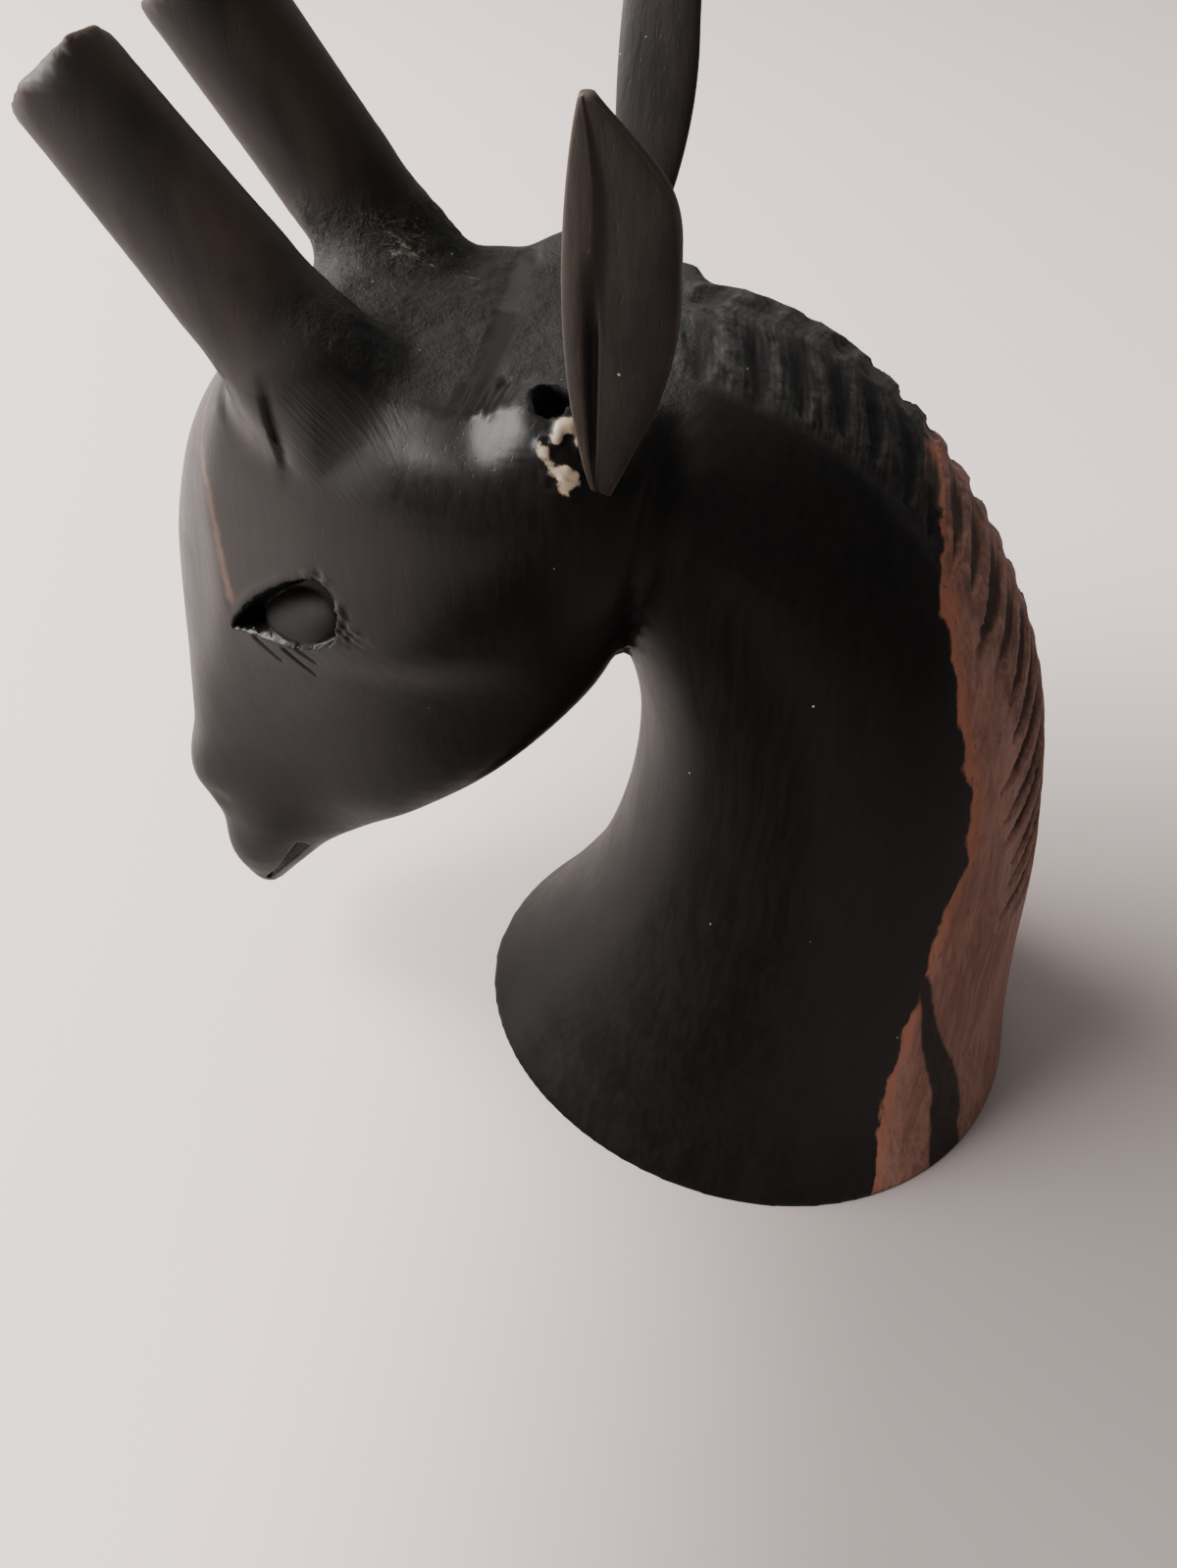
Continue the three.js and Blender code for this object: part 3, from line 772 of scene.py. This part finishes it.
def effect(name, inputs, outputs):
    """An empty shader node group with those sockets; returns its tree, its inputs and its outputs."""
    tree = bpy.data.node_groups.new(name, "ShaderNodeTree")
    for socket, kind in inputs.items():
        tree.interface.new_socket(socket, in_out="INPUT", socket_type=kind)
    for socket in outputs:
        tree.interface.new_socket(socket, in_out="OUTPUT", socket_type="NodeSocketFloat")
    return tree, tree.nodes.new("NodeGroupInput").outputs, tree.nodes.new("NodeGroupOutput").inputs


def noise(tree, place, scale, stretch=(1, 1, 1), detail=2.0, roughness=0.5):
    """Noise from 0 to 1; place and scale are in millimetres and lumps a millimetre."""
    pulled = place_node(tree, "ShaderNodeVectorMath", {0: place, 1: stretch}, operation="MULTIPLY").outputs[0]
    settings = {"Vector": pulled, "Scale": scale, "Detail": detail, "Roughness": roughness}
    return place_node(tree, "ShaderNodeTexNoise", settings).outputs["Fac"]


# Grain: fine streaks and short dark pores that run up the block.
grain, given, gives = effect(
    "upright_grain", {"Place": "NodeSocketVector", "Waver": "NodeSocketFloat"}, ("Streaks", "Pores"))
wavy = place_node(grain, "ShaderNodeVectorMath", {0: given["Place"], 1: (0.09, 0.09, 0.09)}, operation="MULTIPLY")
wave = place_node(grain, "ShaderNodeTexNoise", {"Vector": wavy.outputs[0], "Scale": 1.0, "Detail": 1.0})
wave = place_node(grain, "ShaderNodeVectorMath", {0: wave.outputs["Color"], "Scale": given["Waver"]}, operation="SCALE")
bent = place_node(grain, "ShaderNodeVectorMath", {0: given["Place"], 1: wave.outputs[0]}, operation="ADD").outputs[0]
fine = noise(grain, bent, 1.6, (1, 1, 0.05), 4, 0.65)
broad = noise(grain, bent, 0.35, (1, 1, 0.08), 2)
streaks = reckon(grain, "ADD", reckon(grain, "MULTIPLY", fine, 0.6), reckon(grain, "MULTIPLY", broad, 0.4))
grain.links.new(rise(grain, streaks, 0.36, 0.64), gives["Streaks"])
grain.links.new(rise(grain, noise(grain, bent, 3.2, (1, 1, 0.12), 1), 0.66, 0.74), gives["Pores"])

# Dust: scattered pale specks, and lint that lies in short fibres across the block.
dust, given, gives = effect(
    "dust_and_lint", {"Place": "NodeSocketVector", "Amount": "NodeSocketFloat"}, ("Specks", "Lint"))
cells = place_node(dust, "ShaderNodeTexVoronoi", {"Vector": given["Place"], "Scale": 0.9})
chosen = place_node(dust, "ShaderNodeSeparateColor", {0: cells.outputs["Color"]}).outputs
size = reckon(dust, "MULTIPLY", chosen["Green"], 0.09)
speck = reckon(dust, "LESS_THAN", cells.outputs["Distance"], size)
rare = reckon(dust, "LESS_THAN", chosen["Red"], reckon(dust, "MULTIPLY", given["Amount"], 0.8))
dust.links.new(reckon(dust, "MULTIPLY", speck, rare), gives["Specks"])
fibres = noise(dust, given["Place"], 3.0, (1.2, 0.28, 1.3), 5, 0.72)
patches = noise(dust, given["Place"], 0.3, (1, 0.6, 1), 3)
lint = reckon(dust, "ADD", fibres, reckon(dust, "MULTIPLY", patches, 0.5))
bar = reckon(dust, "SUBTRACT", 1.08, reckon(dust, "MULTIPLY", given["Amount"], 0.34))
over = reckon(dust, "DIVIDE", reckon(dust, "SUBTRACT", lint, bar), 0.2)
dust.links.new(rise(dust, over, 0, 1), gives["Lint"])

# Wear: the polish is rubbed through to brown wood on edges, in uneven stretches.
wear, given, gives = effect(
    "rubbed_edges", {"Place": "NodeSocketVector", "Edge": "NodeSocketFloat"}, ("Rubbed",))
uneven = reckon(wear, "MULTIPLY", noise(wear, given["Place"], 0.5, detail=3), 0.5)
wear.links.new(rise(wear, reckon(wear, "ADD", given["Edge"], uneven), 0.5, 0.95), gives["Rubbed"])


def group(tree, made, **inputs):
    """One use of a shader node group in a material; returns its outputs."""
    return place_node(tree, "ShaderNodeGroup", inputs, node_tree=made).outputs


def kept(tree, name):
    """A number that the mesh keeps at each point."""
    return place_node(tree, "ShaderNodeAttribute", attribute_name=name).outputs["Fac"]


def in_millimetres(tree):
    where = place_node(tree, "ShaderNodeTexCoord").outputs["Object"]
    return place_node(tree, "ShaderNodeVectorMath", {0: where, "Scale": 1 / MM}, operation="SCALE").outputs[0]


# Blackwood: near-black polished heartwood, brown where it is rubbed, with red-brown sapwood behind.
HEARTWOOD, HEARTWOOD_PALE = (0.0022, 0.0020, 0.0019), (0.0042, 0.0034, 0.0030)
HORN_WOOD, HORN_WOOD_BROWN_AND_LIT = (0.016, 0.013, 0.012), (0.042, 0.029, 0.0235)
SAPWOOD, SAPWOOD_DEEP, SAPWOOD_BORDER = (0.27, 0.135, 0.1), (0.16, 0.075, 0.055), (0.3, 0.105, 0.062)
# Painted shade colours for the mane's gouge strokes; the brown one also darkens the sapwood's pores.
PORE_AND_GOUGE_SHADE_BROWN, GOUGE_SHADE_BLACK = (0.05, 0.03, 0.024), (0.003, 0.0026, 0.0024)
MANE_GREY = (0.02, 0.0195, 0.0185)
RUBBED_BROWN = (0.06, 0.032, 0.02)
RASPED_GREY, LINT_COLOUR, SPECK_COLOUR = (0.0125, 0.012, 0.0112), (0.16, 0.145, 0.115), (0.3, 0.28, 0.24)
CRUMB_COLOUR = (0.3, 0.24, 0.17)

wood = bpy.data.materials.new("blackwood")
wood.use_nodes = True
tree = wood.node_tree
wood_shader = tree.nodes["Principled BSDF"]
wood_shader.inputs["Specular IOR Level"].default_value = 0.17
place = in_millimetres(tree)
lines = group(tree, grain, Place=place, Waver=2.0)
streaks, pores = lines["Streaks"], lines["Pores"]
crown_here, mane_here, gouge, horn_here = (kept(tree, n) for n in ("crown", "mane", "gouged", "horn"))
edge = kept(tree, "edge")

colour = tint(tree, streaks, HEARTWOOD, HEARTWOOD_PALE)
axes = place_node(tree, "ShaderNodeSeparateXYZ", {0: place}).outputs
# The horns go browner in random patches, and painted light makes them browner on the sides that face back, towards the
# mane.
horn_brown_and_lit_side = rise(tree, reckon(tree, "ADD", noise(tree, place, 0.16, (1, 1, 0.3)), reckon(
    tree, "MULTIPLY", place_node(tree, "ShaderNodeSeparateXYZ", {
        0: place_node(tree, "ShaderNodeNewGeometry").outputs["Normal"]}).outputs["Y"], 0.35)), 0.55, 0.85)
colour = tint(tree, horn_here, colour, tint(tree, horn_brown_and_lit_side, HORN_WOOD, HORN_WOOD_BROWN_AND_LIT))

border_noise = reckon(tree, "MULTIPLY", reckon(tree, "SUBTRACT", noise(tree, place, 0.45, (1, 1, 0.45), 3), 0.5), 2.6)
sap_edge = reckon(tree, "ADD", kept(tree, "sapwood"), border_noise)
in_sap = rise(tree, sap_edge, -0.12, 0.22)
low_enough = rise(tree, axes["Z"], 79, 73)
in_sap = reckon(tree, "MULTIPLY", in_sap, low_enough)
sap = tint(tree, streaks, SAPWOOD, SAPWOOD_DEEP)
sap = tint(tree, rise(tree, sap_edge, 1.6, 0.2, 0, 0.7), sap, SAPWOOD_BORDER)
sap = tint(tree, reckon(tree, "MULTIPLY", pores, 0.6), sap, PORE_AND_GOUGE_SHADE_BROWN)
streak_edge = reckon(tree, "ADD", kept(tree, "streak"), reckon(tree, "MULTIPLY", border_noise, 0.35))
sap = tint(tree, rise(tree, streak_edge, -0.12, 0.2, 0, 0.95), sap, HEARTWOOD_PALE)
colour = tint(tree, in_sap, colour, sap)

# Painted shade: the mane's gouge strokes are darkened with their depth and along their sub-lines, black in the
# heartwood and dark brown in the sapwood.
sub_lines = place_node(tree, "ShaderNodeCombineXYZ", {
    0: reckon(tree, "MULTIPLY", kept(tree, "stroke_run"), 3.4), 1: reckon(tree, "MULTIPLY", axes["X"], 0.12)})
sub_lines = noise(tree, sub_lines.outputs[0], 1.5, detail=1)
gouge_shade = rise(tree, reckon(tree, "ADD", gouge, reckon(tree, "MULTIPLY", sub_lines, 0.7)), 0.5, 0.95)
gouge_shade_colour = tint(tree, in_sap, GOUGE_SHADE_BLACK, PORE_AND_GOUGE_SHADE_BROWN)
colour = tint(tree, reckon(tree, "MULTIPLY", gouge_shade, mane_here), colour, gouge_shade_colour)

rubbed = group(tree, wear, Place=place, Edge=reckon(tree, "MULTIPLY", edge, 0.9))["Rubbed"]
rubbed = reckon(tree, "MULTIPLY", rubbed, horn_here)
brow = rise(tree, reckon(tree, "ADD", kept(tree, "brow_line"), noise(tree, place, 0.8)), 1.3, 0.5)
rubbed = reckon(tree, "MAXIMUM", reckon(tree, "MULTIPLY", rubbed, 0.6), brow)
colour = tint(tree, reckon(tree, "MULTIPLY", rubbed, 0.75), colour, RUBBED_BROWN)

roughened = reckon(tree, "MAXIMUM", crown_here, reckon(tree, "MULTIPLY", kept(tree, "hatched"), 0.8))
colour = tint(tree, roughened, colour, RASPED_GREY)
upper_mane = reckon(tree, "MULTIPLY", mane_here, kept(tree, "mane_height"))
ridge = reckon(tree, "MULTIPLY", upper_mane, rise(tree, gouge, 0.5, 0.05))
dust_field = noise(tree, place, 0.9, detail=4, roughness=0.65)
colour = tint(tree, reckon(tree, "MULTIPLY", ridge, rise(tree, dust_field, 0.35, 0.65)), colour, MANE_GREY)
far_side = reckon(tree, "MULTIPLY", rise(tree, axes["X"], 2, -6), rise(tree, axes["Y"], -24, -34))
dusty = reckon(tree, "MULTIPLY", crown_here, reckon(tree, "ADD", 0.38, reckon(tree, "MULTIPLY", far_side, 0.5)))
dusty = reckon(tree, "ADD", 0.04, reckon(tree, "MAXIMUM", dusty, reckon(tree, "MULTIPLY", ridge, 0.42)))
loose = group(tree, dust, Place=place, Amount=dusty)
colour = tint(tree, reckon(tree, "MULTIPLY", loose["Lint"], 0.85), colour, LINT_COLOUR)
colour = tint(tree, loose["Specks"], colour, SPECK_COLOUR)
crumb = kept(tree, "crumbs")
crumb = reckon(tree, "MULTIPLY", crumb, noise(tree, place, 1.6, detail=4, roughness=0.7))
colour = tint(tree, rise(tree, crumb, 0.13, 0.3), colour, CRUMB_COLOUR)
tree.links.new(colour, wood_shader.inputs["Base Color"])

gloss = reckon(tree, "ADD", 0.24, reckon(tree, "MULTIPLY", streaks, 0.07))
gloss = reckon(tree, "ADD", gloss, reckon(tree, "MULTIPLY", noise(tree, place, 0.25, detail=3), 0.12))
dull = reckon(tree, "MAXIMUM", reckon(tree, "MULTIPLY", mane_here, 0.28), reckon(tree, "MULTIPLY", roughened, 0.36))
dull = reckon(tree, "MAXIMUM", dull, reckon(tree, "MULTIPLY", horn_here, 0.22))
dull = reckon(tree, "MAXIMUM", dull, reckon(tree, "MULTIPLY", in_sap, 0.14))
dull = reckon(tree, "MAXIMUM", dull, reckon(tree, "MULTIPLY", kept(tree, "eye"), 0.3))
tree.links.new(reckon(tree, "ADD", gloss, dull), wood_shader.inputs["Roughness"])

# Heights below are in millimetres.
height = reckon(tree, "MULTIPLY", streaks, 0.004)
height = reckon(tree, "SUBTRACT", height, reckon(tree, "MULTIPLY", pores, 0.006))
rasp = noise(tree, place, 1.5, detail=4, roughness=0.7)
height = reckon(tree, "ADD", height, reckon(tree, "MULTIPLY", reckon(tree, "MULTIPLY", rasp, crown_here), 0.3))
slant = place_node(tree, "ShaderNodeVectorRotate", {"Vector": place, "Angle": math.radians(45)}, rotation_type="X_AXIS")
hatch = noise(tree, slant.outputs[0], 2.2, (0.3, 0.1, 1.6), 3)
height = reckon(tree, "ADD", height, reckon(tree, "MULTIPLY", reckon(tree, "MULTIPLY", hatch, kept(tree, "hatched")), 0.16))
height = reckon(tree, "SUBTRACT", height, reckon(tree, "MULTIPLY", reckon(tree, "MULTIPLY", sub_lines, mane_here), 0.22))
height = reckon(tree, "ADD", height, reckon(tree, "MULTIPLY", loose["Lint"], 0.05))
bump = place_node(tree, "ShaderNodeBump", {"Height": height, "Distance": MM})
tree.links.new(bump.outputs[0], wood_shader.inputs["Normal"])

body_mesh.materials.append(wood)
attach(body, "root")
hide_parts("head_and_neck")


# The two ears: thin leaf-shaped blades of the same wood, scraped but hardly polished, with a groove
# near the front edge. Each is made apart and glued by its root into a seat in the side of the crown.
EARS = {
    "left": {"root": (16.4, -15.4, 76), "tip": (26, -14.6, 103.8), "face": (0.97, -0.1, -0.2)},
    "right": {"root": (-16, -18.6, 75.6), "tip": (-25, -19.4, 103.8), "face": (-0.97, -0.1, -0.2)},
}
EAR_FRONT = 1.6  # blade width in front of its axis
EAR_BACK = 4.9  # and behind it, at the broadest place
EAR_BACK_SHARE = [(w,) for w in (0.1, 0.45, 0.78, 0.97, 1, 0.86, 0.06)]
EAR_THICKNESS = 2.0
EAR_HOLLOW = 0.5
EAR_END_TRIM = 0.012
EAR_FULLNESS = 0.7
EAR_LEAST_THICKNESS = 0.3
EAR_GROOVE_PLACE = 0.27  # share of the width back from the front edge
EAR_GROOVE_DEPTH = 0.85
EAR_RINGS, EAR_SIDES = 150, 112


def ear_rings(root, tip, face):
    """Sections of one ear blade from its root to its tip, and each point's share in the groove."""
    axis = np.subtract(tip, root)
    length = np.linalg.norm(axis)
    axis = axis / length
    out = unit(np.asarray(face) - axis * np.dot(face, axis))
    back = np.array([0, 1, 0]) - axis * axis[1]
    back = unit(back - out * back @ out)
    turn = np.linspace(0, 2 * math.pi, EAR_SIDES, endpoint=False)
    across, lift = np.cos(turn), np.sin(turn)
    share = (1 + across) / 2
    rings, grooves = [], []
    for f in np.linspace(EAR_END_TRIM, 1 - EAR_END_TRIM, EAR_RINGS):
        leaf = math.sin(math.pi * f) ** EAR_FULLNESS
        front = EAR_FRONT * leaf
        rear = EAR_BACK * run_through(EAR_BACK_SHARE, [f])[0, 0]
        half = EAR_THICKNESS / 2 * max(leaf, EAR_LEAST_THICKNESS)
        plate = np.sign(lift) * abs(lift) ** 0.62
        outer = lift > 0
        strength = np.interp(f, (0.05, 0.2, 0.5, 0.72), (0.2, 1, 1, 0)) * outer
        groove = np.exp(-((share - EAR_GROOVE_PLACE) / 0.055) ** 2) * strength
        slope = EAR_HOLLOW * leaf * np.clip((share - EAR_GROOVE_PLACE) / 0.1, 0, 1) * (1 - share) * 1.6 * outer
        height = half * plate - EAR_GROOVE_DEPTH * leaf * groove - slope
        centre = np.array(root) + axis * f * length
        wide = -front + (front + rear) * share
        rings.append(centre + np.outer(wide, back) + np.outer(height, out))
        grooves.append(groove)
    return np.array(rings), np.concatenate(grooves + [[0, 0]])


EAR_BLACK, EAR_BROWN = (0.0125, 0.0105, 0.0095), (0.023, 0.0175, 0.015)
EAR_RUBBED = (0.075, 0.055, 0.045)
ear_wood = bpy.data.materials.new("ear_wood")
ear_wood.use_nodes = True
tree = ear_wood.node_tree
ear_shader = tree.nodes["Principled BSDF"]
ear_shader.inputs["Specular IOR Level"].default_value = 0.2
place = in_millimetres(tree)
lines = group(tree, grain, Place=place, Waver=1.0)
blotch = rise(tree, noise(tree, place, 0.22, (1, 1, 0.5), 3), 0.38, 0.66)
colour = tint(tree, blotch, EAR_BLACK, EAR_BROWN)
colour = tint(tree, reckon(tree, "MULTIPLY", lines["Streaks"], 0.4), colour, EAR_BLACK)
# Painted shade: the groove near the front edge is darkened towards heartwood black.
colour = tint(tree, reckon(tree, "MULTIPLY", kept(tree, "groove"), 0.8), colour, HEARTWOOD)
rubbed = group(tree, wear, Place=place, Edge=reckon(tree, "MULTIPLY", kept(tree, "edge"), 0.5))["Rubbed"]
colour = tint(tree, reckon(tree, "MULTIPLY", rubbed, 0.4), colour, EAR_RUBBED)
loose = group(tree, dust, Place=place, Amount=0.16)
colour = tint(tree, loose["Specks"], colour, SPECK_COLOUR)
tree.links.new(colour, ear_shader.inputs["Base Color"])
scraped = noise(tree, place, 1.1, (1, 1.4, 0.12), 4, 0.6)
tree.links.new(reckon(tree, "ADD", 0.38, reckon(tree, "MULTIPLY", scraped, 0.24)), ear_shader.inputs["Roughness"])
height = reckon(tree, "SUBTRACT", reckon(tree, "MULTIPLY", scraped, 0.05), reckon(tree, "MULTIPLY", lines["Pores"], 0.01))
bump = place_node(tree, "ShaderNodeBump", {"Height": height, "Distance": MM})
tree.links.new(bump.outputs[0], ear_shader.inputs["Normal"])

for side, ear in EARS.items():
    rings, grooves = ear_rings(**ear)
    ear_points, ear_faces = skin(rings)
    ear_mesh = bpy.data.meshes.new(side + "_ear_blade")
    ear_mesh.from_pydata((ear_points * MM).tolist(), [], ear_faces)
    tidy = bmesh.new()
    tidy.from_mesh(ear_mesh)
    bmesh.ops.recalc_face_normals(tidy, faces=tidy.faces[:])
    tidy.to_mesh(ear_mesh)
    tidy.free()
    keep_value(ear_mesh, "groove", grooves)
    keep_value(ear_mesh, "edge", edge_of(ear_mesh, rounds=1))
    for face in ear_mesh.polygons:
        face.use_smooth = True
    ear_mesh.materials.append(ear_wood)
    blade = bpy.data.objects.new(side + "_ear_blade", ear_mesh)
    bpy.context.scene.collection.objects.link(blade)
    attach(blade, "root")
    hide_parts(side + "_ear")
